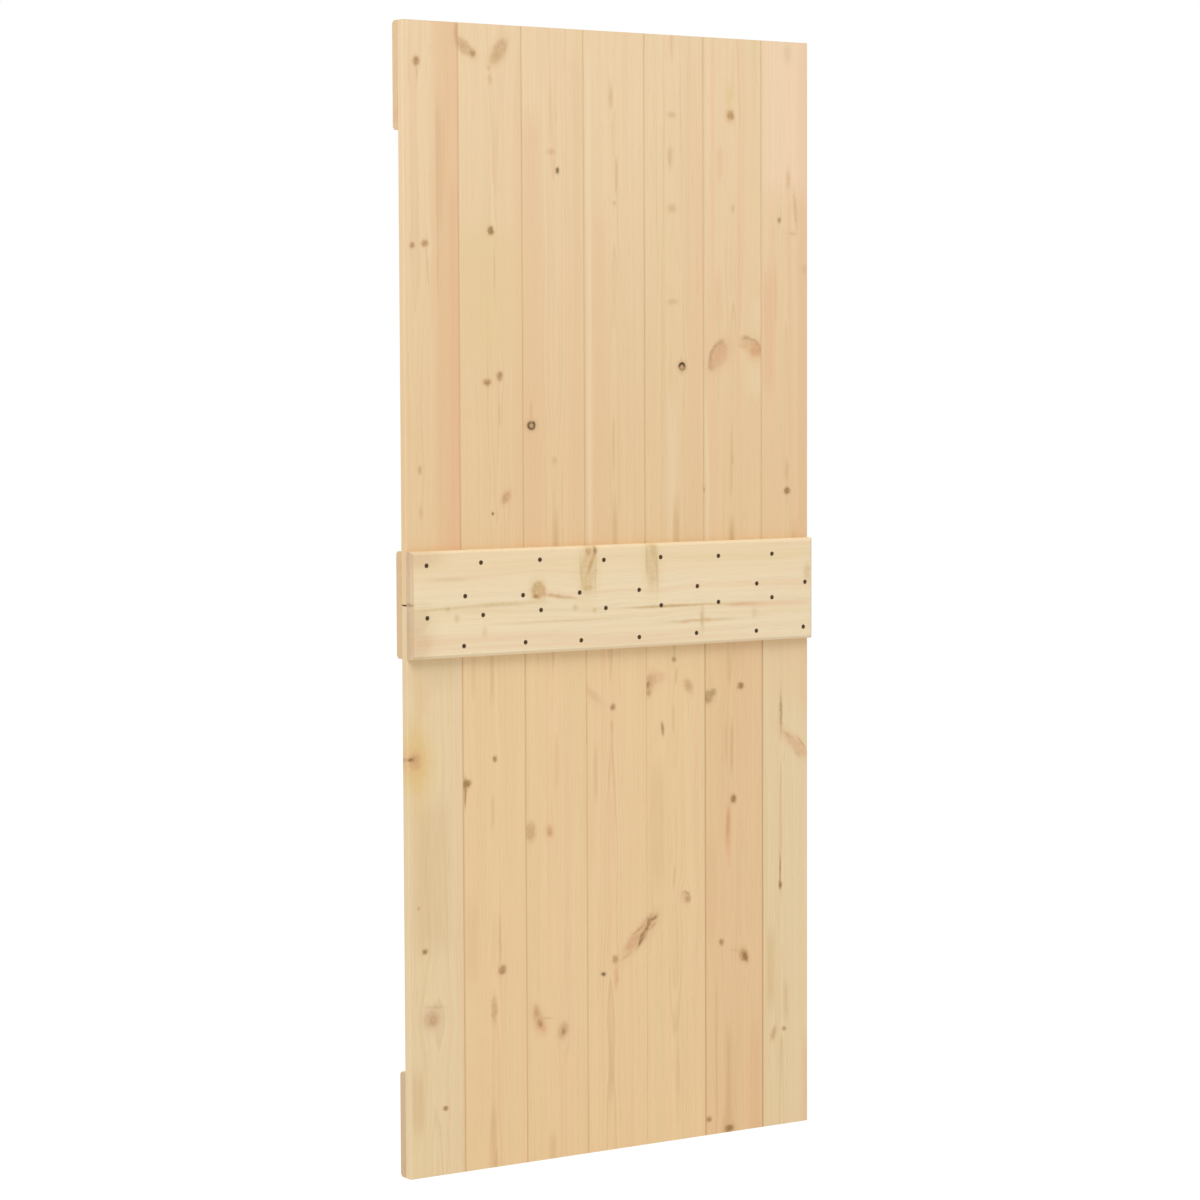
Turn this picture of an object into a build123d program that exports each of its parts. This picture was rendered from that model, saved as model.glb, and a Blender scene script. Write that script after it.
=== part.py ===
"""A ledged pine barn door leaf.

Two half-height panels of upright tongue-and-groove boards meet at mid-height. Three rails on the
room side and one rail across the joint on the back clamp them into a single leaf.
"""

import os

from build123d import *

# Driving dimensions, in millimetres
door_width = 900.0
door_height = 2100.0
board_cover = 135.0  # width that a full board covers, from shoulder to shoulder
board_thickness = 18.0
board_arris = 1.0  # bevel on a board's long edges, which makes the V of a seam
upper_seam_shift = 2.5  # how far the upper boards stand to the right of the middle
lower_seam_shift = 4.5  # the same for the lower boards, which don't quite line up with them
tongue_thickness = 6.0
tongue_length = 6.0
tongue_nose = 1.0  # bevel on the corners of a tongue
groove_clearance = 0.3  # between the faces of a tongue and its groove, on each side
groove_end_room = 1.5  # between the end of a tongue and the floor of its groove
joint_gap = 3.0  # open joint between the two halves
rail_height = 195.0
rail_thickness = 18.0
rail_chamfer = 5.0  # bevel on the edges of a rail's outer face

# X runs across the leaf, +Y towards the room and +Z up, from the middle of the top rail's outer face
panel_front = -rail_thickness
panel_back = panel_front - board_thickness
panel_middle = (panel_front + panel_back) / 2
door_top = rail_height / 2
door_bottom = door_top - door_height
joint_height = (door_top + door_bottom) / 2

groove_depth = tongue_length + groove_end_room
groove_width = tongue_thickness + 2 * groove_clearance
full_boards = round(door_width / board_cover) - 2
board_count = full_boards + 2
from_left = (Align.MIN, Align.CENTER)


def board_edges(seam_shift):
    """Places of the panel's sides and seams along X: full boards between two cut side boards."""
    first_seam = seam_shift - full_boards * board_cover / 2
    seams = [first_seam + board_cover * number for number in range(full_boards + 1)]
    return [-door_width / 2, *seams, door_width / 2]


os.makedirs("parts", exist_ok=True)

# Boards: each has a groove on its left and a tongue on its right, apart from the leaf's own sides
halves = (
    ("upper", joint_height + joint_gap / 2, door_top, upper_seam_shift),
    ("lower", door_bottom, joint_height - joint_gap / 2, lower_seam_shift),
)
for half, bottom, top, seam_shift in halves:
    edges = board_edges(seam_shift)
    for number, (left, right) in enumerate(zip(edges, edges[1:]), start=1):
        with BuildPart() as board:
            with BuildSketch(Plane.XY.offset(bottom)) as profile:
                with Locations(((left + right) / 2, panel_middle)):
                    Rectangle(right - left, board_thickness)
                chamfer(profile.vertices(), board_arris)
                if number > 1:
                    with Locations((left, panel_middle)):
                        Rectangle(groove_depth, groove_width, align=from_left, mode=Mode.SUBTRACT)
                if number < board_count:
                    with Locations((right, panel_middle)):
                        Rectangle(tongue_length, tongue_thickness, align=from_left)
                    chamfer(profile.vertices().group_by(Axis.X)[-1], tongue_nose)
            extrude(amount=top - bottom)
        board.part.label = f"{half}_board_{number}"
        export_step(board.part, f"parts/{board.part.label}.step")

# Rails: flat boards right across the leaf, flush with its sides. The back rail is bevelled all round its
# outer face, and the front rails along their length only, so that their ends stay square.
rails = (
    ("front_top_rail", panel_front, 1, door_top - rail_height / 2),
    ("front_middle_rail", panel_front, 1, joint_height),
    ("front_bottom_rail", panel_front, 1, door_bottom + rail_height / 2),
    ("back_middle_rail", panel_back, -1, joint_height),
)
for name, seat, side, height in rails:
    with BuildPart() as rail:
        outward = (0, side, 0)
        with BuildSketch(Plane(origin=(0, seat, height), x_dir=(1, 0, 0), z_dir=outward)):
            Rectangle(door_width, rail_height)
        extrude(amount=rail_thickness)
        rim = rail.faces().sort_by(Axis((0, 0, 0), outward))[-1].edges()
        chamfer(rim if name.startswith("back") else rim.filter_by(Axis.X), rail_chamfer)
    rail.part.label = name
    export_step(rail.part, f"parts/{name}.step")
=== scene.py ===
"""Looks of a pine barn door leaf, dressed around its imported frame.

Every wooden piece keeps its CAD solid. Its wood is a solid texture in millimetres: growth rings round a
pith line, bent by the knots that run through the piece, so that faces, edges and end grain agree.
"""

import math
import random
from typing import NamedTuple

import bmesh
import bpy
from mathutils import Matrix, Vector


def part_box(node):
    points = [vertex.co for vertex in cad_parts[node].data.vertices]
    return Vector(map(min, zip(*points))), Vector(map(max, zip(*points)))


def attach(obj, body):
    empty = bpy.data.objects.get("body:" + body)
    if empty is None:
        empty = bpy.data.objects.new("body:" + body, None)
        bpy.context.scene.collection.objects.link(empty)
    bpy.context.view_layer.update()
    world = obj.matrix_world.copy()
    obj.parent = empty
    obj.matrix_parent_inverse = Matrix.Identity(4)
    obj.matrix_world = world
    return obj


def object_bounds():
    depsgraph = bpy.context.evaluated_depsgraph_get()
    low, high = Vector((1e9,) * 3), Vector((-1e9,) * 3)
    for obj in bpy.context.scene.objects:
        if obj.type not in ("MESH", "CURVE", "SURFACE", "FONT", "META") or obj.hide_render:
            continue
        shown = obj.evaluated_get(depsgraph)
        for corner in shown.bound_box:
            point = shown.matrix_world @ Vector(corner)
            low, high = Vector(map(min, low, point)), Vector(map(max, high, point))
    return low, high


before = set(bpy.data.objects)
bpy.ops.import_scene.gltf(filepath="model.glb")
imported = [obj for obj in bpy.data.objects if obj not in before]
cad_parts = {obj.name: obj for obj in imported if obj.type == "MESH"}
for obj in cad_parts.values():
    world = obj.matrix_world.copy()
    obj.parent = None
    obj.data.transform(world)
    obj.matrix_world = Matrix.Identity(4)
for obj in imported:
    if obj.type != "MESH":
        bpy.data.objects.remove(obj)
cad_low, cad_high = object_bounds()

MM = 0.001
DOOR_LEFT = cad_low.x / MM
DOOR_TOP = cad_high.z / MM
JOINT = sum(corner.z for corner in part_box("back_middle_rail")) / 2 / MM


def srgb(code):
    """Linear colour of a hex code."""
    parts = [int(code[i : i + 2], 16) / 255 for i in (1, 3, 5)]
    return tuple(p / 12.92 if p <= 0.04045 else ((p + 0.055) / 1.055) ** 2.4 for p in parts)


# Wood tones
CREAM = srgb("#E4CCA3")
HONEY = srgb("#E7C89A")
TOAST = srgb("#E4C498")
WARM = srgb("#E3C194")
PALE = srgb("#EBD7B3")
# BRIGHT is the paler tone at the leaf's top, partly the wood's tone and partly painted light from above
BRIGHT = srgb("#E9CEA7")
STRAW = srgb("#E1C795")
ROSE = srgb("#E6BE97")
PALE_ROSE = srgb("#F4D4B8")
LATE_WOOD = srgb("#BE9664")
RED_HEART = srgb("#DFB087")
TAN_HEART = srgb("#CCA777")
RESIN = srgb("#DABB80")
END_GRAIN = srgb("#BE9F7C")
# Painted shade, with a little dirt, in the seams between boards
SEAM_SHADE_AND_DIRT = srgb("#A87D4E")


class Knot(NamedTuple):
    """A knot, streak or pitch pocket, in millimetres from the leaf's top left corner.

    Lean is in degrees clockwise from upright, and shade is the bearing of its dark side, if it has one.
    """

    u: float
    v: float
    width: float
    height: float
    style: str = "tight"
    lean: float = 0.0
    shade: float = None


class Band(NamedTuple):
    """A strip of other wood along the grain, in millimetres from the leaf's top left corner."""

    centre: float
    width: float
    start: float
    end: float
    colour: tuple
    strength: float = 0.5


class Wood(NamedTuple):
    """How one board or rail was cut: its pith line, ring width, tone, knots and bands.

    The tone turns into top_tone_and_light, if it has one, towards the leaf's top: a paler top that is
    partly the wood's tone and partly painted light from above. Seam is how dark the painted shade and dirt
    are in the seam on a board's left, figure how strong the rings show, and ends how dark the cut ends are.
    """

    heart: float
    pith_depth: float
    ring: float
    tone: tuple
    knots: tuple = ()
    bands: tuple = ()
    top_tone_and_light: tuple = None
    seam: float = 0.22
    figure: float = 1.0
    ends: float = 0.6


class KnotStyle(NamedTuple):
    """Colours of a knot's parts, their shares, its push on the grain, its soft edge and its patchiness.

    The rim lies at a share of the knot's radius, and lee is how much of it stays on the light side. Rough
    is the share of the edge's wander that the style takes.
    """

    core: tuple
    rim: tuple
    halo: tuple
    core_share: float
    rim_share: float
    halo_share: float
    bend: float
    blur: float = 4.0
    patchy: float = 0.0
    rim_place: float = 0.95
    lee: float = 0.1
    rough: float = 1.0


KNOT_STYLES = {
    "tight": KnotStyle(srgb("#A57B4F"), srgb("#835B33"), srgb("#D6AD7F"), 0.85, 0.1, 0.3, 0.7),
    "dark": KnotStyle(srgb("#896532"), srgb("#644722"), srgb("#CDA676"), 0.85, 0.1, 0.35, 0.7),
    "black": KnotStyle(srgb("#483312"), srgb("#483312"), srgb("#C6A171"), 0.85, 0.0, 0.35, 0.5),
    "dead": KnotStyle(
        srgb("#BD9868"), srgb("#4A3414"), srgb("#C79F70"), 0.9, 0.95, 0.4, 0.8, 4.5, 0.0, 0.7, 0.55, 0.4
    ),
    "soft": KnotStyle(srgb("#B98F62"), srgb("#AB8050"), srgb("#DAB78B"), 0.6, 0.1, 0.3, 0.6, 6.0, 0.2),
    "haze": KnotStyle(srgb("#BC9776"), srgb("#BC9776"), srgb("#D6BA98"), 0.5, 0.0, 0.35, 0.4, 9.0, 0.25),
    "rose": KnotStyle(srgb("#D0A076"), srgb("#967147"), srgb("#E2BE94"), 0.65, 0.33, 0.3, 0.7, 6.0, 0.25),
    "faint": KnotStyle(srgb("#D4A87E"), srgb("#D4A87E"), srgb("#E2BE94"), 0.45, 0.0, 0.3, 0.5, 6.0),
    "blush": KnotStyle(srgb("#D09F79"), srgb("#D09F79"), srgb("#DFB389"), 0.55, 0.0, 0.3, 0.0, 5.0, 0.3),
    "ember": KnotStyle(srgb("#CA9064"), srgb("#CA9064"), srgb("#DDAE7C"), 0.48, 0.0, 0.3, 0.0, 8.0, 0.2),
    "olive": KnotStyle(srgb("#A37E50"), srgb("#86693F"), srgb("#CDB181"), 0.72, 0.1, 0.35, 0.6, 5.0, 0.15),
    "amber": KnotStyle(srgb("#C09B60"), srgb("#A27C48"), srgb("#DABC88"), 0.8, 0.15, 0.35, 0.4, 4.0, 0.2),
    "straw": KnotStyle(srgb("#DFC088"), srgb("#DFC088"), srgb("#E2C898"), 0.5, 0.0, 0.25, 0.0, 6.0),
    "scar": KnotStyle(srgb("#876038"), srgb("#876038"), srgb("#C79E72"), 0.78, 0.0, 0.35, 0.0, 3.5, 0.3),
    "tail": KnotStyle(srgb("#C6A070"), srgb("#C6A070"), srgb("#DBB98D"), 0.4, 0.0, 0.25, 0.0),
    "streak": KnotStyle(srgb("#B78857"), srgb("#B78857"), srgb("#D2AC7C"), 0.55, 0.0, 0.25, 0.0, 2.5, 0.2),
    "spike": KnotStyle(srgb("#C99D6D"), srgb("#8F653B"), srgb("#DBB588"), 0.5, 0.12, 0.35, 0.5, 6.0, 0.5),
    "wedge": KnotStyle(srgb("#CDAE79"), srgb("#CDAE79"), srgb("#DFC799"), 0.6, 0.0, 0.3, 0.25, 7.0, 0.25),
    "shade": KnotStyle(srgb("#C69F74"), srgb("#C69F74"), srgb("#D9BB91"), 0.3, 0.0, 0.2, 0.0, 16.0),
    "vein": KnotStyle(srgb("#C3A573"), srgb("#C3A573"), srgb("#D9BF91"), 0.5, 0.0, 0.25, 0.0, 3.0, 0.3),
    "stain": KnotStyle(srgb("#CBAE84"), srgb("#CBAE84"), srgb("#DCC197"), 0.3, 0.0, 0.2, 0.0, 6.0),
    "resin": KnotStyle(srgb("#DDB56C"), srgb("#DDB56C"), srgb("#E0C48E"), 0.5, 0.0, 0.3, 0.0, 20.0, 0.3),
}
EDGE_WANDER = 5.0  # how far a knot's edge strays from its ellipse in small steps, at most
EDGE_LUMPS = 9.0  # the same in large steps
EDGE_WANDER_SIZE, EDGE_LUMP_SIZE = 8.0, 26.0  # how long these steps are

# The pith line's wander across and through a piece, and the rings round it, in millimetres
PITH_SWAY, PITH_SWAY_LENGTH = 9.0, 330
PITH_RISE, PITH_RISE_LENGTH = 5.0, 240
PITH_SLOPE = (0.008, 0.016)  # least and most, per millimetre of length
RIPPLE = 2.2
UNEVEN_RINGS, UNEVEN_RINGS_SIZE = 1.6, 17  # the first is counted in rings
LATE_SHARE = (0.02, 0.13)  # how strong the faintest and the strongest ring show
HEART_HALF_WIDTH = (10.0, 34.0)  # where the strong figure at the heart starts to fade and ends

# Blotch sizes across, through and along the grain, in millimetres
RIPPLE_SIZE = (16, 16, 150)
ZONE_SIZE = (40, 40, 260)
BROAD_SIZE = (24, 24, 1300)
STREAK_SIZE = (6, 6, 420)
DASH_SIZE = (1.6, 1.6, 46)
FIBRE_WIDTH, FIBRE_LENGTH = 0.9, 70
MOTTLE_SIZE = (4, 4, 4)
PATCH_SIZE = (9, 9, 9)

TOP_TONE_AND_LIGHT_FADE = (1000, -60)  # where the paler top tone, partly painted light, starts and is full, down from the leaf's top
SEAM_REACH = (0.2, 3.5)  # where the painted shade and dirt of a seam is full and ends, from the seam
FIBRE_RELIEF = 0.3  # height of the fibres, in millimetres
GRAIN_SEED = 41

WOODS = {
    "upper_board_1": Wood(
        heart=24, pith_depth=30, ring=3.6, tone=TOAST, top_tone_and_light=BRIGHT, figure=0.85,
        knots=(
            Knot(28, 73, 14, 17, "tight"), Knot(29, 92, 3, 24, "tail"), Knot(112, 20, 8, 40, "soft"),
            Knot(18, 402, 10, 11, "tight"), Knot(44, 397, 13, 12, "tight"),
            Knot(49, 442, 3, 80, "tail", -5), Knot(30, 806, 8, 14, "soft"), Knot(31, 883, 7, 24, "tail"),
        ),
        bands=(
            Band(90, 52, -60, 1103, RED_HEART, 0.45), Band(106, 22, 251, 1103, RED_HEART, 0.35),
            Band(76, 12, 121, 401, TAN_HEART, 0.35), Band(70, 4, 110, 520, TAN_HEART, 0.4),
            Band(84, 4, 140, 330, RED_HEART, 0.5),
        ),
    ),
    "upper_board_2": Wood(
        heart=190, pith_depth=22, ring=3.4, tone=TOAST, top_tone_and_light=BRIGHT, figure=0.85,
        knots=(
            Knot(130, 44, 20, 44, "soft", -52), Knot(147, 54, 11, 11, "olive"),
            Knot(204, 45, 24, 44, "soft", 32), Knot(193, 60, 18, 30, "tail", 30),
            Knot(180, 79, 6, 8, "tail"), Knot(183, 99, 8, 16, "tail"), Knot(183, 373, 13, 14, "dark"),
            Knot(190, 442, 3, 70, "tail"), Knot(173, 648, 15, 12, "tight"), Knot(200, 637, 12, 15, "tight"),
            Knot(199, 707, 5, 44, "tail"), Knot(215, 858, 17, 26, "blush", 28),
            Knot(212, 861, 12, 22, "soft", 28), Knot(184, 889, 6, 6, "black"),
        ),
        bands=(Band(240, 20, 0, 1103, RED_HEART, 0.2), Band(178, 130, 330, 640, STRAW, 0.5)),
    ),
    "upper_board_3": Wood(
        heart=318, pith_depth=16, ring=3.8, tone=TOAST, top_tone_and_light=BRIGHT, figure=0.85,
        knots=(
            Knot(327, 260, 8, 12, "black"), Knot(313, 226, 16, 11, "tail"), Knot(268, 728, 18, 17, "dead"),
            Knot(268, 702, 5, 40, "tail"), Knot(318, 793, 10, 16, "tail"),
        ),
        bands=(
            Band(272, 40, 121, 1103, RED_HEART, 0.26), Band(311, 6, 80, 231, TAN_HEART, 0.2),
            Band(320, 12, 863, 1103, TAN_HEART, 0.6), Band(368, 26, 0, 1103, RED_HEART, 0.16),
        ),
    ),
    "upper_board_4": Wood(
        heart=451, pith_depth=15, ring=3.5, tone=TOAST, top_tone_and_light=BRIGHT, figure=0.85,
        knots=(Knot(453, 317, 9, 8, "tail"), Knot(446, 121, 10, 40, "tail")),
        bands=(
            Band(451, 10, 843, 1103, TAN_HEART, 0.6), Band(449, 6, 692, 843, TAN_HEART, 0.4),
            Band(420, 30, 301, 1103, RED_HEART, 0.22), Band(458, 6, 221, 311, TAN_HEART, 0.5),
            Band(396, 8, 0, 1103, PALE, 0.5),
        ),
    ),
    "upper_board_5": Wood(
        heart=584, pith_depth=17, ring=3.6, tone=TOAST, top_tone_and_light=BRIGHT, figure=0.85,
        knots=(
            Knot(605, 621, 17, 17, "dead", 0, 0), Knot(583, 149, 18, 11, "tail"),
            Knot(583, 323, 20, 16, "tail"), Knot(579, 226, 11, 36, "tail"), Knot(584, 499, 22, 10, "tail"),
        ),
        bands=(
            Band(582, 26, 640, 1003, PALE, 0.22), Band(630, 36, 0, 1103, RED_HEART, 0.14),
            Band(591, 12, 843, 1103, TAN_HEART, 0.75), Band(583, 8, -60, 60, RED_HEART, 0.5),
        ),
    ),
    "upper_board_6": Wood(
        heart=722, pith_depth=15, ring=3.5, tone=TOAST, top_tone_and_light=BRIGHT, figure=0.85,
        knots=(
            Knot(716, 147, 17, 20, "ember"), Knot(719, 144, 15, 18, "tight"),
            Knot(717, 111, 17, 50, "straw"), Knot(697, 597, 28, 50, "blush", 22),
            Knot(688, 600, 31, 62, "rose", 30, 290), Knot(768, 584, 27, 54, "rose", -57, 25),
            Knot(777, 590, 28, 24, "ember"), Knot(748, 582, 26, 9, "faint", 10),
            Knot(653, 853, 7, 8, "black"), Knot(724, 321, 8, 15, "tail"), Knot(722, 798, 5, 20, "tail"),
        ),
        bands=(
            Band(720, 12, 883, 1103, TAN_HEART, 0.85), Band(719, 6, 703, 903, TAN_HEART, 0.4),
            Band(694, 12, 191, 281, RED_HEART, 0.4), Band(690, 14, 422, 562, RED_HEART, 0.25),
            Band(662, 10, 640, 1103, PALE, 0.3), Band(773, 26, 604, 690, PALE, 0.3),
            Band(776, 22, 480, 572, PALE, 0.25),
        ),
    ),
    "upper_board_7": Wood(
        heart=851, pith_depth=19, ring=3.8, tone=TOAST, top_tone_and_light=BRIGHT, figure=0.6,
        knots=(
            Knot(833, 341, 8, 10, "tight"), Knot(864, 366, 22, 7, "faint"), Knot(894, 434, 14, 20, "faint"),
            Knot(854, 263, 10, 36, "tail"), Knot(871, 320, 9, 70, "tail", -6),
            Knot(851, 861, 13, 14, "dark"), Knot(850, 823, 10, 44, "tail"), Knot(853, 22, 18, 32, "stain"),
        ),
        bands=(
            Band(890, 26, -60, 1103, RED_HEART, 0.35), Band(806, 22, 402, 703, RED_HEART, 0.4),
            Band(824, 6, 402, 562, RED_HEART, 0.5), Band(868, 14, 903, 1103, TAN_HEART, 0.5),
            Band(850, 110, -300, 330, PALE_ROSE, 0.45),
        ),
    ),
    "lower_board_1": Wood(
        heart=58, pith_depth=34, ring=4.2, tone=CREAM, figure=0.6,
        knots=(
            Knot(22, 1338, 62, 126, "resin"), Knot(15, 1333, 28, 34, "ember"),
            Knot(13, 1330, 20, 15, "soft"), Knot(10, 1330, 9, 7, "tight"), Knot(5, 1330, 10, 7, "dark"),
            Knot(21, 1603, 7, 7, "soft"), Knot(33, 1683, 10, 10, "dark"), Knot(47, 1809, 40, 38, "haze"),
            Knot(49, 1811, 18, 18, "soft"), Knot(53, 1787, 38, 6, "vein", 6), Knot(75, 1977, 9, 8, "dark"),
        ),
        bands=(
            Band(14, 24, 1223, 1422, RESIN, 0.4), Band(48, 76, 1372, 1722, TAN_HEART, 0.26),
            Band(55, 110, 1080, 1230, TAN_HEART, 0.16), Band(34, 26, 1183, 1263, RED_HEART, 0.25),
            Band(17, 24, 1881, 2040, TAN_HEART, 0.35),
        ),
    ),
    "lower_board_2": Wood(
        heart=182, pith_depth=22, ring=3.6, tone=HONEY, seam=0.3,
        knots=(
            Knot(185, 1340, 9, 10, "dark"), Knot(126, 1382, 13, 15, "dark"), Knot(121, 1385, 6, 26, "dark"),
            Knot(121, 1406, 4, 34, "tight"), Knot(198, 1733, 16, 17, "tight"),
            Knot(194, 1674, 6, 90, "tail"), Knot(181, 1806, 11, 46, "soft"),
        ),
        bands=(
            Band(180, 8, 1103, 1253, TAN_HEART, 0.5), Band(140, 9, 1103, 1243, TAN_HEART, 0.3),
            Band(180, 6, 1392, 1482, TAN_HEART, 0.4), Band(178, 12, 1961, 2160, TAN_HEART, 0.5),
            Band(133, 26, 1562, 1781, TAN_HEART, 0.2),
        ),
    ),
    "lower_board_3": Wood(
        heart=312, pith_depth=28, ring=4.0, tone=HONEY, seam=0.25,
        knots=(
            Knot(262, 1480, 20, 34, "soft"), Knot(304, 1482, 16, 26, "blush"),
            Knot(304, 1484, 9, 14, "soft"), Knot(276, 1831, 24, 44, "blush", -25),
            Knot(273, 1822, 11, 28, "soft", -10), Knot(282, 1847, 18, 28, "blush", -30),
            Knot(280, 1841, 9, 14, "tight", -20), Knot(296, 1833, 26, 4, "tail", 8),
            Knot(331, 1860, 20, 30, "soft", 20), Knot(332, 1862, 8, 13, "olive", 20),
        ),
        bands=(Band(320, 8, 1293, 1422, RED_HEART, 0.4), Band(308, 14, 2030, 2160, TAN_HEART, 0.4)),
    ),
    "lower_board_4": Wood(
        heart=440, pith_depth=24, ring=3.8, tone=HONEY, seam=0.2,
        knots=(
            Knot(402, 1234, 16, 46, "faint", -48), Knot(445, 1259, 11, 13, "tight"),
            Knot(443, 1295, 6, 22, "tail"), Knot(449, 1738, 12, 14, "tight"),
            Knot(451, 1770, 10, 46, "blush"), Knot(422, 1763, 10, 8, "black"),
            Knot(508, 1695, 25, 104, "spike", 45, 350), Knot(490, 1709, 18, 40, "blush", 45),
            Knot(503, 1686, 4, 34, "streak", 60), Knot(511, 1699, 13, 21, "scar", 40),
            Knot(505, 1711, 6, 20, "scar", 36), Knot(519, 1687, 8, 15, "scar", 30),
            Knot(474, 1733, 6, 30, "tail", 60),
        ),
        bands=(Band(406, 8, 1313, 1452, TAN_HEART, 0.5), Band(396, 14, 1383, 1602, RED_HEART, 0.2)),
    ),
    "lower_board_5": Wood(
        heart=587, pith_depth=24, ring=3.8, tone=HONEY, seam=0.06, figure=0.8,
        knots=(
            Knot(548, 1209, 34, 24, "faint"), Knot(534, 1213, 24, 28, "blush"),
            Knot(527, 1224, 15, 36, "soft"), Knot(525, 1221, 8, 14, "tight"),
            Knot(527, 1237, 11, 9, "soft"), Knot(585, 1175, 9, 9, "tight"), Knot(586, 1150, 6, 46, "vein"),
            Knot(617, 1229, 17, 27, "soft", -25), Knot(558, 1306, 7, 24, "tight", -8),
            Knot(610, 1634, 20, 22, "rose", -20, 60), Knot(614, 1637, 10, 12, "soft"),
            Knot(521, 1683, 27, 62, "spike", 45, 350), Knot(519, 1687, 8, 15, "scar", 30),
            Knot(526, 1675, 10, 20, "scar", 12), Knot(537, 1667, 6, 17, "scar", 65),
            Knot(537, 1680, 5, 14, "streak", 50),
        ),
        bands=(
            Band(586, 6, 1188, 1228, TAN_HEART, 0.6), Band(583, 6, 1253, 1323, TAN_HEART, 0.4),
            Band(545, 34, 1343, 1642, TAN_HEART, 0.22), Band(587, 7, 1562, 1622, TAN_HEART, 0.5),
        ),
    ),
    "lower_board_6": Wood(
        heart=716, pith_depth=14, ring=3.4, tone=WARM, seam=0.4,
        knots=(
            Knot(663, 1252, 23, 21, "olive"), Knot(675, 1244, 16, 13, "olive", -20),
            Knot(740, 1234, 13, 12, "dark"), Knot(723, 1452, 13, 15, "dark"),
            Knot(711, 1506, 10, 84, "blush", 3), Knot(709, 1500, 8, 60, "ember", 3),
            Knot(694, 1727, 11, 12, "tight"), Knot(727, 1747, 24, 6, "faint", 20),
            Knot(746, 1757, 19, 28, "tight", -28, 110), Knot(742, 1754, 9, 14, "ember"),
            Knot(750, 1761, 9, 20, "dark", -25), Knot(664, 2069, 12, 11, "tight"),
            Knot(712, 2093, 20, 13, "dark"),
        ),
        bands=(
            Band(671, 26, 1482, 1762, RED_HEART, 0.35), Band(712, 8, 1462, 1592, RED_HEART, 0.7),
            Band(712, 14, 1861, 2160, TAN_HEART, 0.5), Band(773, 24, 1861, 2160, RED_HEART, 0.45),
            Band(719, 6, 1283, 1423, TAN_HEART, 0.6), Band(706, 5, 1283, 1393, TAN_HEART, 0.5),
            Band(682, 5, 1762, 2160, TAN_HEART, 0.45), Band(712, 12, 1153, 1243, TAN_HEART, 0.35),
        ),
    ),
    "lower_board_7": Wood(
        heart=837, pith_depth=16, ring=3.8, tone=CREAM, seam=0.5,
        knots=(
            Knot(836, 1293, 6, 68, "olive"), Knot(872, 1356, 20, 88, "blush", -48),
            Knot(855, 1338, 8, 30, "vein", -50), Knot(876, 1374, 9, 18, "vein", -48),
            Knot(886, 1353, 4, 33, "streak", -39), Knot(834, 1600, 4, 60, "tight"),
            Knot(834, 1628, 8, 15, "dark"), Knot(818, 1919, 11, 26, "soft", 15),
            Knot(843, 1912, 9, 8, "olive"), Knot(836, 1415, 3, 60, "tail"),
        ),
        bands=(
            Band(893, 18, 1103, 1333, RED_HEART, 0.3), Band(895, 14, 1901, 2160, RED_HEART, 0.4),
            Band(847, 10, 1802, 1911, TAN_HEART, 0.45), Band(811, 18, 1682, 1901, TAN_HEART, 0.35),
            Band(835, 5, 1383, 1602, TAN_HEART, 0.4), Band(850, 100, 1000, 1300, TOAST, 0.55),
        ),
    ),
    "back_middle_rail": Wood(
        heart=1062, pith_depth=12, ring=4.4, tone=PALE, figure=0.55,
        knots=(
            Knot(24, 966, 80, 32, "shade"), Knot(12, 1120, 60, 60, "shade"),
            Knot(14, 1078, 50, 46, "stain"), Knot(0, 1049, 10, 6, "black"),
            Knot(269, 1031, 29, 34, "amber"), Knot(282, 1034, 7, 24, "blush"),
            Knot(264, 1042, 13, 7, "tight"), Knot(314, 1044, 74, 7, "streak", 8),
            Knot(380, 996, 36, 92, "wedge", 3), Knot(364, 1000, 5, 60, "vein", -4),
            Knot(396, 1005, 4, 60, "vein", 2), Knot(380, 1032, 24, 12, "vein"),
            Knot(380, 963, 12, 15, "streak"), Knot(387, 984, 7, 50, "streak", 23),
            Knot(395, 962, 8, 13, "tight"), Knot(523, 992, 32, 92, "wedge"), Knot(511, 978, 4, 50, "vein"),
            Knot(525, 966, 13, 22, "vein"), Knot(534, 1006, 5, 70, "vein", -2),
            Knot(560, 1072, 150, 5, "streak"), Knot(600, 1072, 250, 4, "vein"),
            Knot(730, 1075, 70, 6, "blush"), Knot(190, 1054, 150, 8, "vein", -1),
            Knot(60, 1058, 110, 5, "vein", -2), Knot(325, 1090, 250, 4, "stain"),
            Knot(633, 1102, 145, 5, "vein"), Knot(597, 1104, 22, 5, "faint"),
            Knot(648, 1101, 18, 7, "faint"), Knot(638, 1098, 10, 44, "vein"), Knot(76, 1058, 10, 9, "vein"),
            Knot(95, 1076, 10, 12, "vein"), Knot(352, 1067, 11, 9, "vein"), Knot(394, 1073, 10, 8, "vein"),
            Knot(154, 1104, 12, 18, "stain"), Knot(761, 1092, 12, 20, "stain"),
            Knot(80, 1005, 84, 6, "stain"), Knot(886, 1018, 16, 30, "wedge"),
        ),
        bands=(
            Band(966, 70, -60, 960, HONEY, 0.22), Band(1000, 50, -60, 430, HONEY, 0.15),
            Band(1077, 10, 700, 930, RED_HEART, 0.35),
        ),
    ),
    "front_top_rail": Wood(
        heart=84, pith_depth=38, ring=4.2, tone=HONEY, ends=0.2,
        knots=(
            Knot(150, 60, 26, 22, "rose"), Knot(388, 128, 15, 14, "dark"), Knot(402, 122, 60, 6, "tail"),
            Knot(610, 52, 20, 18, "tight"), Knot(742, 140, 13, 12, "dark"), Knot(838, 88, 24, 20, "soft"),
        ),
        bands=(Band(170, 26, -60, 960, RED_HEART, 0.4),),
    ),
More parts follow.
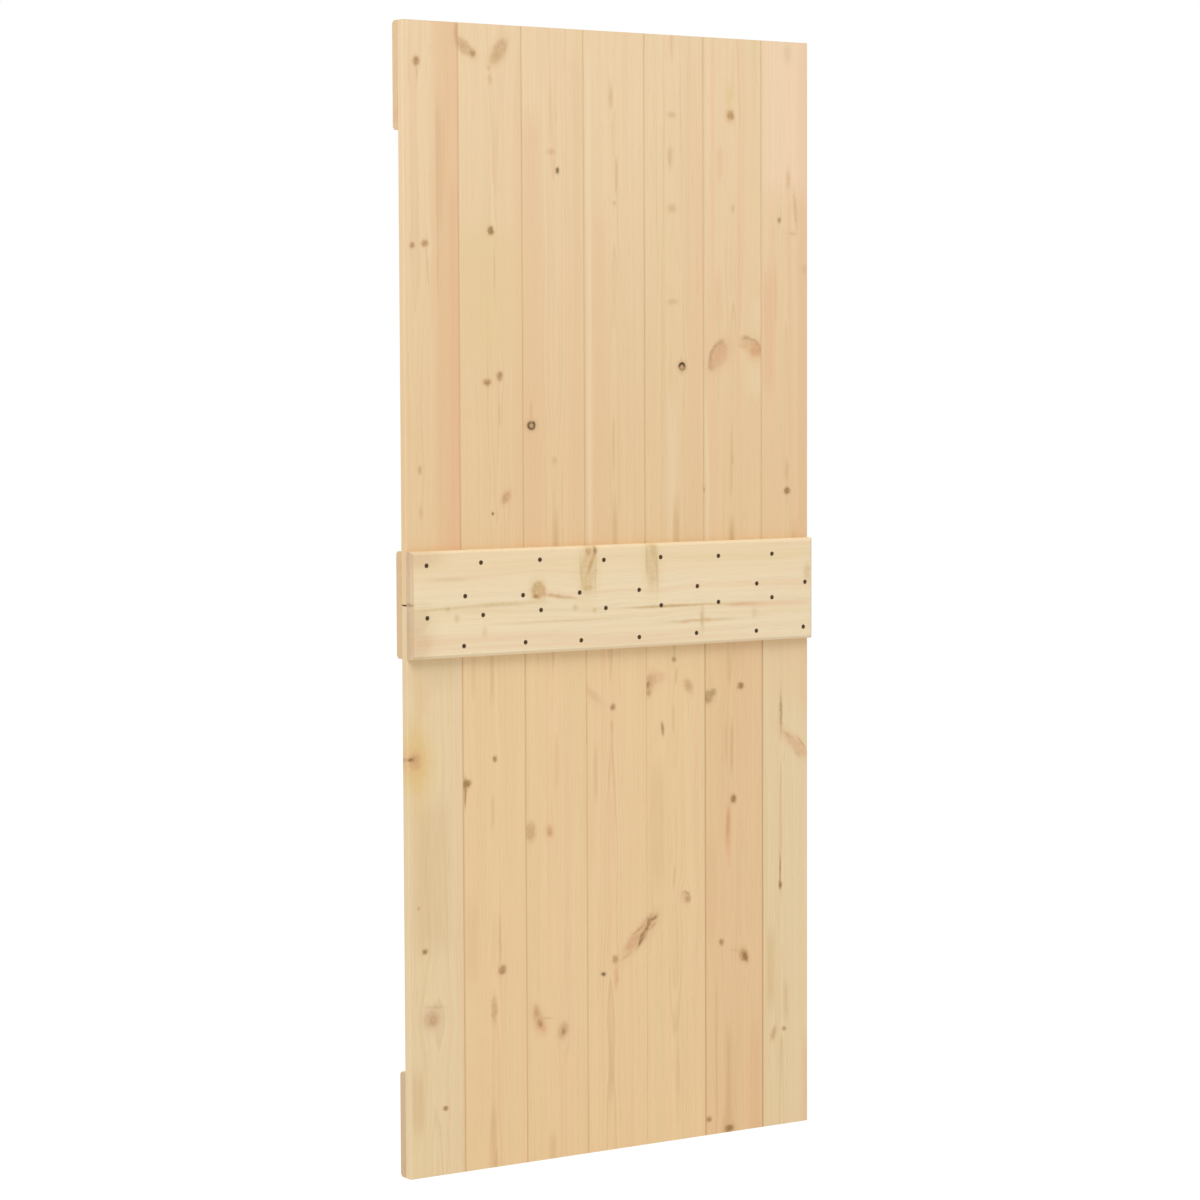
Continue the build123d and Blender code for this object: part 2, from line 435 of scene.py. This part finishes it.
    "front_middle_rail": Wood(
        heart=1040, pith_depth=34, ring=4.0, tone=HONEY, ends=0.4,
        knots=(
            Knot(92, 1082, 18, 16, "tight"), Knot(286, 1012, 30, 24, "rose"),
            Knot(300, 1014, 80, 6, "tail"), Knot(512, 1098, 12, 11, "dark"),
            Knot(688, 1030, 22, 19, "tight"), Knot(812, 1094, 16, 14, "soft"),
        ),
        bands=(Band(978, 22, -60, 960, RED_HEART, 0.35),),
    ),
    "front_bottom_rail": Wood(
        heart=2010, pith_depth=40, ring=4.4, tone=CREAM,
        knots=(
            Knot(64, 1972, 14, 13, "dark"), Knot(242, 2044, 28, 23, "soft"),
            Knot(244, 2044, 12, 11, "tight"), Knot(470, 1956, 19, 17, "tight"),
            Knot(598, 2052, 14, 12, "dark"), Knot(776, 1996, 30, 22, "rose"),
        ),
        bands=(Band(2078, 24, -60, 960, RED_HEART, 0.35),),
    ),
}


class Graph:
    """A material's node tree, with a short call for each kind of node that the wood needs."""

    def __init__(self, material):
        material.use_nodes = True
        self.tree = material.node_tree
        self.tree.nodes.clear()

    def add(self, kind, **settings):
        node = self.tree.nodes.new(kind)
        for name, value in settings.items():
            setattr(node, name, value)
        return node

    def set(self, socket, value):
        """Links an output to the socket, or sets a plain value on it."""
        if isinstance(value, bpy.types.NodeSocket):
            self.tree.links.new(value, socket)
        elif socket.type == "RGBA" and len(value) == 3:
            socket.default_value = (*value, 1.0)
        else:
            socket.default_value = value

    def math(self, operation, *values, clamp=False):
        node = self.add("ShaderNodeMath", operation=operation, use_clamp=clamp)
        for socket, value in zip(node.inputs, values):
            self.set(socket, value)
        return node.outputs[0]

    def vector(self, operation, *values):
        node = self.add("ShaderNodeVectorMath", operation=operation)
        for socket, value in zip(node.inputs, values):
            self.set(socket, value)
        return node.outputs["Value" if operation in ("LENGTH", "DOT_PRODUCT") else "Vector"]

    def scale(self, vector, factor):
        node = self.add("ShaderNodeVectorMath", operation="SCALE")
        self.set(node.inputs[0], vector)
        self.set(node.inputs["Scale"], factor)
        return node.outputs["Vector"]

    def split(self, vector):
        node = self.add("ShaderNodeSeparateXYZ")
        self.set(node.inputs[0], vector)
        return node.outputs

    def join(self, *values):
        node = self.add("ShaderNodeCombineXYZ")
        for socket, value in zip(node.inputs, values):
            self.set(socket, value)
        return node.outputs[0]

    def smooth(self, value, low, high, start=0.0, end=1.0):
        """A soft step from start at low to end at high."""
        node = self.add("ShaderNodeMapRange", interpolation_type="SMOOTHSTEP")
        settings = {"Value": value, "From Min": low, "From Max": high, "To Min": start, "To Max": end}
        for name, x in settings.items():
            self.set(node.inputs[name], x)
        return node.outputs["Result"]

    def blotches(self, point, size, seed):
        """A noise texture with blotches of the given size along each axis, in the point's units."""
        scaled = self.vector("MULTIPLY_ADD", point, [1 / s for s in size], (seed, 1.7 * seed, 2.9 * seed))
        node = self.add("ShaderNodeTexNoise")
        self.set(node.inputs["Vector"], scaled)
        node.inputs["Scale"].default_value = 1.0
        return node

    def noise(self, point, size, seed, detail=2.0):
        """Noise from 0 to 1."""
        node = self.blotches(point, size, seed)
        node.inputs["Detail"].default_value = detail
        return node.outputs["Fac"]

    def wobble(self, point, size, seed):
        """A vector of noises from -0.5 to 0.5."""
        node = self.blotches(point, (size, size, size), seed)
        return self.vector("SUBTRACT", node.outputs["Color"], (0.5, 0.5, 0.5))

    def mix(self, share, a, b):
        node = self.add("ShaderNodeMix", data_type="RGBA")
        for number, value in ((0, share), (6, a), (7, b)):
            self.set(node.inputs[number], value)
        return node.outputs[2]


def around(g, value, middle, reach):
    """Noise from 0 to 1, turned into middle plus or minus reach."""
    return g.math("MULTIPLY_ADD", value, 2 * reach, middle - reach)


def knot_fields(g, point, depth, ragged, lumpy, knot, along_x):
    """A knot's distance field, 1 at its edge, its dark side from -1 to 1, and its push on the grain."""
    style = KNOT_STYLES[knot.style]
    slant = random.uniform(-0.25, 0.25), 0.0, random.uniform(-0.35, 0.35)
    centre = (DOOR_LEFT + knot.u, 0.0, DOOR_TOP - knot.v)
    offset = g.vector("SUBTRACT", point, g.vector("MULTIPLY_ADD", depth, slant, centre))
    size = min(knot.width, knot.height)
    roughness = (style.rough * min(0.5 * size, EDGE_WANDER),) * 3
    lumps = (style.rough * min(0.4 * size, EDGE_LUMPS),) * 3
    strayed = g.vector("MULTIPLY_ADD", ragged, roughness, g.vector("MULTIPLY_ADD", lumpy, lumps, offset))
    turned = g.add("ShaderNodeVectorRotate", rotation_type="Y_AXIS")
    g.set(turned.inputs["Vector"], strayed)
    turned.inputs["Angle"].default_value = -math.radians(knot.lean)
    scaled = g.vector("MULTIPLY", turned.outputs[0], (2 / knot.width, 0.0, 2 / knot.height))
    distance = g.vector("LENGTH", scaled)
    side = None
    if knot.shade is not None:
        bearing = math.radians(knot.shade - knot.lean)
        side = g.vector("DOT_PRODUCT", scaled, (math.sin(bearing), 0.0, math.cos(bearing)))
    if not style.bend:
        return distance, side, None
    across, along = (knot.height, knot.width) if along_x else (knot.width, knot.height)
    reach_across, reach_along = 0.9 * across + 5, 1.5 * along + 16
    reach_x, reach_z = (reach_along, reach_across) if along_x else (reach_across, reach_along)
    spread = g.vector("MULTIPLY", offset, (1 / reach_x, 0.0, 1 / reach_z))
    fade = g.math("EXPONENT", g.math("MULTIPLY", g.vector("DOT_PRODUCT", spread, spread), -1.0))
    push = (0.0, 0.0, -style.bend) if along_x else (-style.bend, 0.0, 0.0)
    return distance, side, g.scale(g.vector("MULTIPLY", offset, push), fade)


def paint_knot(g, colour, distance, side, mottle, patches, knot):
    """Lays a knot's halo, body and rim over the wood."""
    style = KNOT_STYLES[knot.style]
    blur = min(2 * style.blur / min(knot.width, knot.height), 0.7)
    if style.patchy:
        mottle = g.math("MULTIPLY", mottle, g.math("MULTIPLY_ADD", patches, style.patchy, 1 - style.patchy))
    halo = g.smooth(distance, 0.8, 2.2, style.halo_share, 0.0)
    colour = g.mix(halo, colour, style.halo)
    body = g.math("MULTIPLY", g.smooth(distance, 1 - blur, 1 + 0.6 * blur, style.core_share, 0.0), mottle)
    if side:
        body = g.math("MULTIPLY", body, g.smooth(side, -0.9, 0.5, 0.45, 1.0))
    colour = g.mix(body, colour, style.core)
    if not style.rim_share:
        return colour
    inner = g.smooth(distance, style.rim_place - blur, style.rim_place)
    outer = g.smooth(distance, style.rim_place, style.rim_place + blur, style.rim_share, 0.0)
    rim = g.math("MULTIPLY", g.math("MULTIPLY", inner, outer), mottle)
    if side:
        rim = g.math("MULTIPLY", rim, g.smooth(side, -0.6, 0.8, style.lee, 1.5), clamp=True)
    return g.mix(rim, colour, style.rim)


def paint_band(g, colour, across, along, streaks, band, along_x):
    """Lays a strip of other wood along the grain."""
    if along_x:
        centre, low, high = DOOR_TOP - band.centre, DOOR_LEFT + band.start, DOOR_LEFT + band.end
    else:
        centre, low, high = DOOR_LEFT + band.centre, DOOR_TOP - band.end, DOOR_TOP - band.start
    off = g.math("ABSOLUTE", g.math("SUBTRACT", across, centre))
    half = band.width / 2
    soft = min(max(7.0, 0.5 * half), half)
    fade = min(80.0, (high - low) / 3)
    sides = g.smooth(off, half - soft, half + soft, band.strength, 0.0)
    begun, ended = g.smooth(along, low, low + fade), g.smooth(along, high - fade, high, 1.0, 0.0)
    inside = g.math("MULTIPLY", sides, g.math("MULTIPLY", begun, ended))
    share = g.math("MULTIPLY", inside, streaks, clamp=True)
    return g.mix(share, colour, band.colour)


def seams(name, wood):
    """The places along X of a board's seams, in millimetres, and how dark each is."""
    half, word, number = name.split("_")
    neighbour = f"{half}_{word}_{int(number) + 1}"
    if int(number) > 1:
        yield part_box(name)[0].x / MM, wood.seam
    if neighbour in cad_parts:
        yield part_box(neighbour)[0].x / MM, WOODS[neighbour].seam


def late_wood(g, wood, seed, grain, from_heart, from_pith):
    """How much of the dark late wood shows, in rings round the pith line."""
    radius = g.vector("LENGTH", g.join(from_heart, from_pith, 0.0))
    ripple = g.noise(grain, RIPPLE_SIZE, seed + 4)
    radius = g.math("ADD", radius, around(g, ripple, 0.0, RIPPLE))
    uneven = g.noise(g.join(radius, 0.0, 0.0), (UNEVEN_RINGS_SIZE, 1, 1), seed + 2, 1.0)
    turns = g.math("ADD", g.math("DIVIDE", radius, wood.ring), around(g, uneven, 0.0, UNEVEN_RINGS))
    part = g.math("FRACT", turns)
    late = g.math("MULTIPLY", g.smooth(part, 0.2, 0.82), g.smooth(part, 0.85, 1.0, 1.0, 0.0))
    ring_number = g.add("ShaderNodeTexWhiteNoise", noise_dimensions="1D")
    g.set(ring_number.inputs["W"], g.math("ADD", g.math("FLOOR", turns), seed))
    late = g.math("MULTIPLY", late, g.smooth(ring_number.outputs["Value"], 0.0, 1.0, *LATE_SHARE))
    off_heart = g.math("ABSOLUTE", from_heart)
    heart_share = g.smooth(off_heart, *HEART_HALF_WIDTH, 1.7 * wood.figure, 0.8 * wood.figure)
    zone = g.smooth(g.noise(grain, ZONE_SIZE, seed + 11), 0.3, 0.7, 0.35, 1.5)
    return g.math("MULTIPLY", late, g.math("MULTIPLY", heart_share, zone))


def plain_wood(g, wood, seed, grain, height, late, middle, fibre):
    """The wood's colour before bands and knots: broad streaks, rings, short dashes and fine fibres."""
    colour = wood.tone
    # Paler towards the leaf's top: partly the wood's tone, partly painted light falling from above
    if wood.top_tone_and_light:
        low, high = (DOOR_TOP - place for place in TOP_TONE_AND_LIGHT_FADE)
        colour = g.mix(g.smooth(height, low, high), wood.tone, wood.top_tone_and_light)
    broad = g.noise(grain, BROAD_SIZE, seed + 6)
    colour = g.mix(g.smooth(broad, 0.5, 0.75, 0.0, 0.5), colour, ROSE)
    colour = g.mix(g.smooth(broad, 0.5, 0.25, 0.0, 0.5), colour, STRAW)
    colour = g.mix(late, colour, LATE_WOOD)
    dash = g.smooth(g.noise(grain, DASH_SIZE, seed + 12, 1.0), 0.6, 0.72, 0.0, 0.15)
    colour = g.mix(dash, colour, LATE_WOOD)
    light = g.math("ADD", around(g, middle, 1.0, 0.05), around(g, fibre, 0.0, 0.02))
    return g.scale(colour, light)


def wood_surface(g, colour, fibre):
    """Matt wood, with its fibres in the gloss and as a fine relief."""
    shader = g.add("ShaderNodeBsdfPrincipled")
    g.set(shader.inputs["Base Color"], colour)
    g.set(shader.inputs["Roughness"], around(g, fibre, 0.6, 0.1))
    shader.inputs["Specular IOR Level"].default_value = 0.3
    bump = g.add("ShaderNodeBump")
    bump.inputs["Strength"].default_value = 0.25
    bump.inputs["Distance"].default_value = FIBRE_RELIEF * MM
    g.set(bump.inputs["Height"], fibre)
    g.set(shader.inputs["Normal"], bump.outputs[0])
    output = g.add("ShaderNodeOutputMaterial")
    g.set(output.inputs["Surface"], shader.outputs[0])


def pine(name, wood):
    """The wood of one board or rail."""
    seed = random.uniform(3, 60)
    along_x = name.endswith("rail")
    low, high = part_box(name)
    face, inward = (high.y / MM, -1) if name.startswith("front") else (low.y / MM, 1)
    material = bpy.data.materials.new(name + "_pine")
    g = Graph(material)
    coordinates = g.add("ShaderNodeTexCoord")
    point = g.scale(coordinates.outputs["Object"], 1 / MM)
    x, y, z = g.split(point)
    behind = g.math("MULTIPLY_ADD", y, inward, -inward * face)
    depth = g.join(behind, behind, behind)
    ragged = g.wobble(point, EDGE_WANDER_SIZE, seed)
    lumpy = g.wobble(point, EDGE_LUMP_SIZE, seed + 13)

    # Knots push the grain aside
    fields = []
    bent = point
    for knot in wood.knots:
        distance, side, push = knot_fields(g, point, depth, ragged, lumpy, knot, along_x)
        fields.append((knot, distance, side))
        if push:
            bent = g.vector("ADD", bent, push)
    bent_x, bent_y, bent_z = g.split(bent)
    across, along = (bent_z, bent_x) if along_x else (bent_x, bent_z)
    grain = g.join(across, bent_y, along)

    # Growth rings lie round a pith line that wanders along the piece
    heart = DOOR_TOP - wood.heart if along_x else DOOR_LEFT + wood.heart
    sway = g.noise(g.join(0.0, 0.0, along), (1, 1, PITH_SWAY_LENGTH), seed, 1.0)
    rise = g.noise(g.join(5.0, 0.0, along), (1, 1, PITH_RISE_LENGTH), seed + 9, 1.0)
    from_heart = g.math("SUBTRACT", across, around(g, sway, heart, PITH_SWAY))
    tilt = random.choice((-1, 1)) * random.uniform(*PITH_SLOPE)
    middle_place = (low + high)[0 if along_x else 2] / 2 / MM
    pith = g.math("MULTIPLY_ADD", along, tilt, face + inward * wood.pith_depth - tilt * middle_place)
    from_pith = g.math("SUBTRACT", g.math("SUBTRACT", bent_y, pith), around(g, rise, 0.0, PITH_RISE))
    late = late_wood(g, wood, seed, grain, from_heart, from_pith)

    # Bands and knots lie over the plain wood
    middle = g.noise(grain, STREAK_SIZE, seed + 7)
    fibre_size = [FIBRE_WIDTH] * 3
    fibre_size[0 if along_x else 2] = FIBRE_LENGTH
    fibre = g.noise(point, fibre_size, seed + 8)
    colour = plain_wood(g, wood, seed, grain, z, late, middle, fibre)
    streaks = around(g, middle, 1.0, 0.9)
    for band in wood.bands:
        colour = paint_band(g, colour, across, along, streaks, band, along_x)
    mottle = g.smooth(g.noise(point, MOTTLE_SIZE, seed + 5), 0.25, 0.6, 0.6, 1.0)
    patches = g.smooth(g.noise(point, PATCH_SIZE, seed + 14), 0.38, 0.58)
    for knot, distance, side in fields:
        colour = paint_knot(g, colour, distance, side, mottle, patches, knot)

    # Cut ends are darker, and the seams between boards get painted shade and a little dirt
    normal = g.split(coordinates.outputs["Normal"])
    cut = g.smooth(g.math("ABSOLUTE", normal[0 if along_x else 2]), 0.5, 0.72, 0.0, wood.ends)
    colour = g.mix(cut, colour, END_GRAIN)
    if not along_x:
        for place, strength in seams(name, wood):
            off = g.math("ABSOLUTE", g.math("SUBTRACT", x, place))
            # Painted shade, with a little dirt, darkest at each seam and fading within a few millimetres
            colour = g.mix(g.smooth(off, *SEAM_REACH, strength, 0.0), colour, SEAM_SHADE_AND_DIRT)
    wood_surface(g, colour, fibre)
    return material


def screw_steel():
    """Dark steel with the brown cast that the screws have in the photo, and a little wear."""
    material = bpy.data.materials.new("screw_steel")
    g = Graph(material)
    point = g.scale(g.add("ShaderNodeTexCoord").outputs["Object"], 1 / MM)
    worn = g.smooth(g.noise(point, (1.2, 1.2, 1.2), 5.0, 3.0), 0.45, 0.75)
    shader = g.add("ShaderNodeBsdfPrincipled")
    shader.inputs["Metallic"].default_value = 0.2
    g.set(shader.inputs["Base Color"], g.mix(worn, srgb("#4E3D24"), srgb("#6B5636")))
    g.set(shader.inputs["Roughness"], around(g, worn, 0.55, 0.1))
    output = g.add("ShaderNodeOutputMaterial")
    g.set(output.inputs["Surface"], shader.outputs[0])
    return material


# Screws: places from the leaf's left side and up from the joint
SCREW_SPOTS = (
    (32, 72), (147, 74), (274, 75), (415, 70), (543, 71), (676, 69), (802, 69),
    (113, 14), (237, 11), (361, 11), (494, 11), (627, 13), (766, 13), (881, 12),
    (33, -23), (151, -22), (276, -18), (419, -20), (544, -20), (676, -19), (802, -15),
    (110, -77), (242, -76), (364, -78), (494, -78), (625, -76), (765, -78), (877, -75),
)
SCREW_SUNK = 0.8
HEAD_SIDES = 24
SCREW_PROFILE = ((4.1, 0.0), (4.15, -0.4), (3.1, -1.6), (2.2, -3.0), (1.8, -5.0), (1.8, -9.0))
RECESS_REACH, RECESS_ARM, RECESS_DEPTH, RECESS_TAPER = 2.5, 0.55, 2.0, 0.6
POCKET_PROFILE = ((5.0, 1.0), (4.4, -0.2), (4.3, -1.3), (2.6, -3.2))


def ring(bm, radius, height, sides, place):
    """A circle of vertices round the screw's axis, which points out of the rail."""
    turns = [2 * math.pi * i / sides for i in range(sides)]
    circle = [Vector((radius * math.cos(t), radius * math.sin(t), height)) for t in turns]
    return [bm.verts.new(place @ point) for point in circle]


def skin(bm, lower, upper):
    """Side faces between two loops of as many vertices."""
    for i in range(len(lower)):
        j = (i + 1) % len(lower)
        bm.faces.new((lower[i], lower[j], upper[j], upper[i]))


def add_screw(bm, place):
    """A countersunk screw with a cross recess."""
    loops = [ring(bm, radius, height, HEAD_SIDES, place) for radius, height in SCREW_PROFILE]
    for upper, lower in zip(loops, loops[1:]):
        skin(bm, lower, upper)
    bm.faces.new(reversed(loops[-1]))
    a, r = RECESS_ARM, RECESS_REACH
    arm = ((r, -a), (r, a), (a, a))
    quarter_turns = ((1, 0), (0, 1), (-1, 0), (0, -1))
    cross = [(x * c - y * s, x * s + y * c) for c, s in quarter_turns for x, y in arm]
    mouth = [bm.verts.new(place @ Vector((x, y, 0))) for x, y in cross]
    narrowed = [(x * RECESS_TAPER, y * RECESS_TAPER) for x, y in cross]
    floor = [bm.verts.new(place @ Vector((x, y, -RECESS_DEPTH))) for x, y in narrowed]
    skin(bm, mouth, floor)
    bm.faces.new(floor)
    edges = [bm.edges.get((loop[i - 1], loop[i])) or bm.edges.new((loop[i - 1], loop[i]))
             for loop in (loops[0], mouth) for i in range(len(loop))]
    bmesh.ops.triangle_fill(bm, edges=edges, use_beauty=True)


def add_pocket(bm, place):
    """The hole that a screw head has pressed into the rail."""
    loops = [ring(bm, radius, height, HEAD_SIDES, place) for radius, height in POCKET_PROFILE]
    for upper, lower in zip(loops, loops[1:]):
        skin(bm, lower, upper)
    bm.faces.new(loops[0])
    bm.faces.new(reversed(loops[-1]))


def mesh_object(name, add_one, places):
    """One joined mesh with a copy of a form at each place, given in millimetres."""
    bm = bmesh.new()
    for place in places:
        add_one(bm, place)
    bmesh.ops.recalc_face_normals(bm, faces=bm.faces)
    bmesh.ops.scale(bm, vec=(MM, MM, MM), verts=bm.verts)
    mesh = bpy.data.meshes.new(name)
    bm.to_mesh(mesh)
    bm.free()
    piece = bpy.data.objects.new(name, mesh)
    bpy.context.scene.collection.objects.link(piece)
    return piece


random.seed(GRAIN_SEED)
for name, wood in WOODS.items():
    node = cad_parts[name]
    node.data.materials.clear()
    node.data.materials.append(pine(name, wood))

rail_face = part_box("back_middle_rail")[0].y / MM
out_of_rail = Matrix.Rotation(math.radians(90), 4, "X")
screw_places, pocket_places = [], []
for across, height in SCREW_SPOTS:
    spot = Vector((DOOR_LEFT + across, rail_face, JOINT + height))
    turn = out_of_rail @ Matrix.Rotation(random.uniform(0, math.pi), 4, "Z")
    pocket_places.append(Matrix.Translation(spot) @ turn)
    screw_places.append(Matrix.Translation(spot + Vector((0, SCREW_SUNK, 0))) @ turn)

screws = mesh_object("rail_screws", add_screw, screw_places)
screws.data.materials.append(screw_steel())
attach(screws, "root")

pockets = mesh_object("screw_pockets", add_pocket, pocket_places)
pockets.hide_render = pockets.hide_viewport = True
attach(pockets, "root")
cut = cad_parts["back_middle_rail"].modifiers.new("screw_pockets", "BOOLEAN")
cut.object = pockets
cut.operation = "DIFFERENCE"
cut.solver = "EXACT"


# Stage: a white floor that keeps the leaf's shadow, white surroundings and one soft light
FLOOR_SIZE = 60.0
FLOOR_TONE = 0.85
FLOOR_GLOW = 0.85
GLOW_STRENGTH = 1.07
SKY_LIGHT = 0.667
LIGHT_PLACE = Vector((-0.50, -0.48, 0.72))
LIGHT_DISTANCE = 16.0
LIGHT_SIZE = 8.0
LIGHT_POWER = 1330.0


def seen_directly(g):
    """1 for rays that see the background, straight or reflected, and 0 for those that light things."""
    path = g.add("ShaderNodeLightPath").outputs
    straight = g.math("MAXIMUM", path["Is Camera Ray"], path["Is Glossy Ray"])
    return g.math("MAXIMUM", straight, path["Is Transmission Ray"])


def floor_paint():
    """Matt white, which mostly glows where the camera sees it, so that only a soft shadow is left."""
    material = bpy.data.materials.new("floor_paint")
    g = Graph(material)
    matt = g.add("ShaderNodeBsdfDiffuse")
    matt.inputs["Color"].default_value = (FLOOR_TONE, FLOOR_TONE, FLOOR_TONE, 1)
    glow = g.add("ShaderNodeEmission")
    glow.inputs["Strength"].default_value = GLOW_STRENGTH
    blend = g.add("ShaderNodeMixShader")
    g.set(blend.inputs["Fac"], g.math("MULTIPLY", seen_directly(g), FLOOR_GLOW))
    g.set(blend.inputs[1], matt.outputs[0])
    g.set(blend.inputs[2], glow.outputs[0])
    output = g.add("ShaderNodeOutputMaterial")
    g.set(output.inputs["Surface"], blend.outputs[0])
    return material


middle = (cad_low + cad_high) / 2
reach = FLOOR_SIZE / 2
corners = ((-reach, -reach), (reach, -reach), (reach, reach), (-reach, reach))
floor_mesh = bpy.data.meshes.new("floor")
floor_mesh.from_pydata([(x, y, cad_low.z) for x, y in corners], [], [(0, 1, 2, 3)])
floor_mesh.materials.append(floor_paint())
floor = bpy.data.objects.new("floor", floor_mesh)
bpy.context.scene.collection.objects.link(floor)

world = bpy.data.worlds.new("surroundings")
bpy.context.scene.world = world
g = Graph(world)
sky = g.add("ShaderNodeBackground")
sky.inputs["Color"].default_value = (1, 1, 1, 1)
g.set(sky.inputs["Strength"], g.smooth(seen_directly(g), 0.0, 1.0, SKY_LIGHT, 1.0))
g.set(g.add("ShaderNodeOutputWorld").inputs["Surface"], sky.outputs[0])

lamp = bpy.data.lights.new("soft_light", "AREA")
lamp.size = LIGHT_SIZE
lamp.energy = LIGHT_POWER
lamp_object = bpy.data.objects.new("soft_light", lamp)
lamp_object.location = middle + LIGHT_DISTANCE * LIGHT_PLACE
lamp_object.rotation_mode = "QUATERNION"
lamp_object.rotation_quaternion = (-LIGHT_PLACE).to_track_quat("-Z", "Y")
bpy.context.scene.collection.objects.link(lamp_object)

# Camera
CAMERA_PLACE = Vector((-3.58488, -5.45887, -0.52880))
CAMERA_AZIMUTH = -33.2275
CAMERA_ELEVATION = 3.7918
CAMERA_ROLL = -0.227
CAMERA_LENS = 104.2

camera = bpy.data.cameras.new("camera")
camera.lens = CAMERA_LENS
camera.sensor_width = 36.0
camera_object = bpy.data.objects.new("camera", camera)
azimuth, elevation = math.radians(CAMERA_AZIMUTH), math.radians(CAMERA_ELEVATION)
back = Vector((
    math.sin(azimuth) * math.cos(elevation), -math.cos(azimuth) * math.cos(elevation), math.sin(elevation)
))
camera_object.rotation_mode = "QUATERNION"
upright = (-back).to_track_quat("-Z", "Y").to_matrix()
roll = Matrix.Rotation(math.radians(CAMERA_ROLL), 3, "Z")
camera_object.rotation_quaternion = (upright @ roll).to_quaternion()
camera_object.location = CAMERA_PLACE
bpy.context.scene.collection.objects.link(camera_object)
bpy.context.scene.camera = camera_object
bpy.context.scene.view_settings.view_transform = "Standard"
